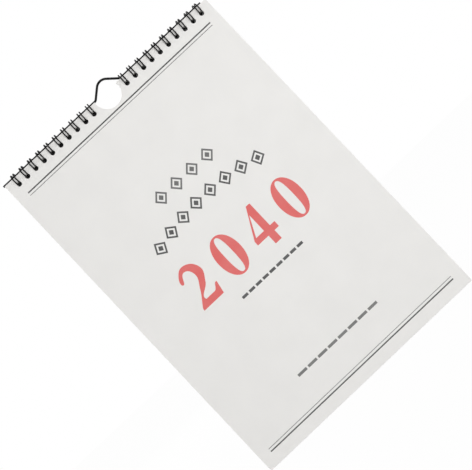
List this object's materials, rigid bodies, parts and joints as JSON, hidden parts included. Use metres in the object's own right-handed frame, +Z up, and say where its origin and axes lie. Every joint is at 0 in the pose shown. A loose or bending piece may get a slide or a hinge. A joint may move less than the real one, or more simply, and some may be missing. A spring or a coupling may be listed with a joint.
{
  "type": "wall calendar",
  "caption": "Portrait wall calendar: a punched block of sheets with a front cover, bound on two twin-loop wires, on a bent wire hanger with a thumb notch below.",
  "frame": {"origin": "underside of the hanger's crown, where the nail carries it, in the hanger wire's mid-plane", "axes": "+X across the width, +Y back towards the wall, +Z up; the cover faces -Y"},
  "size_m": [0.2065, 0.0108, 0.3001],
  "materials": {
    "cover_paper": "satin",
    "leaf_paper": "matte",
    "backing_board": "matte",
    "loop_wire": "satin",
    "hanger_wire": "satin",
    "dark_ink": "matte",
    "grey_ink": "matte",
    "pale_ink": "matte",
    "red_ink": "matte"
  },
  "bodies": {
    "hanger": {"hanger": "hanger_wire"},
    "block": {"left_loop_wire": "loop_wire", "right_loop_wire": "loop_wire", "backing_card": "backing_board", "month_sheets": "leaf_paper"},
    "cover": {"front_cover": "cover_paper", "printed_rules": "dark_ink", "printed_heading": "grey_ink", "printed_number": "red_ink", "printed_dashes": "pale_ink"}
  },
  "joints": [
    {"name": "block_swing", "type": "hinge", "parent": "hanger", "child": "block", "pos_m": [-0.003, 0, -0.0078], "axis": [-1, 0, 0], "range_deg": [-175, 20]},
    {"name": "cover_turn", "type": "hinge", "parent": "block", "child": "cover", "pos_m": [-0.003, -0.0012, -0.01084], "axis": [-1, 0, 0], "range_deg": [0, 60]}
  ]
}
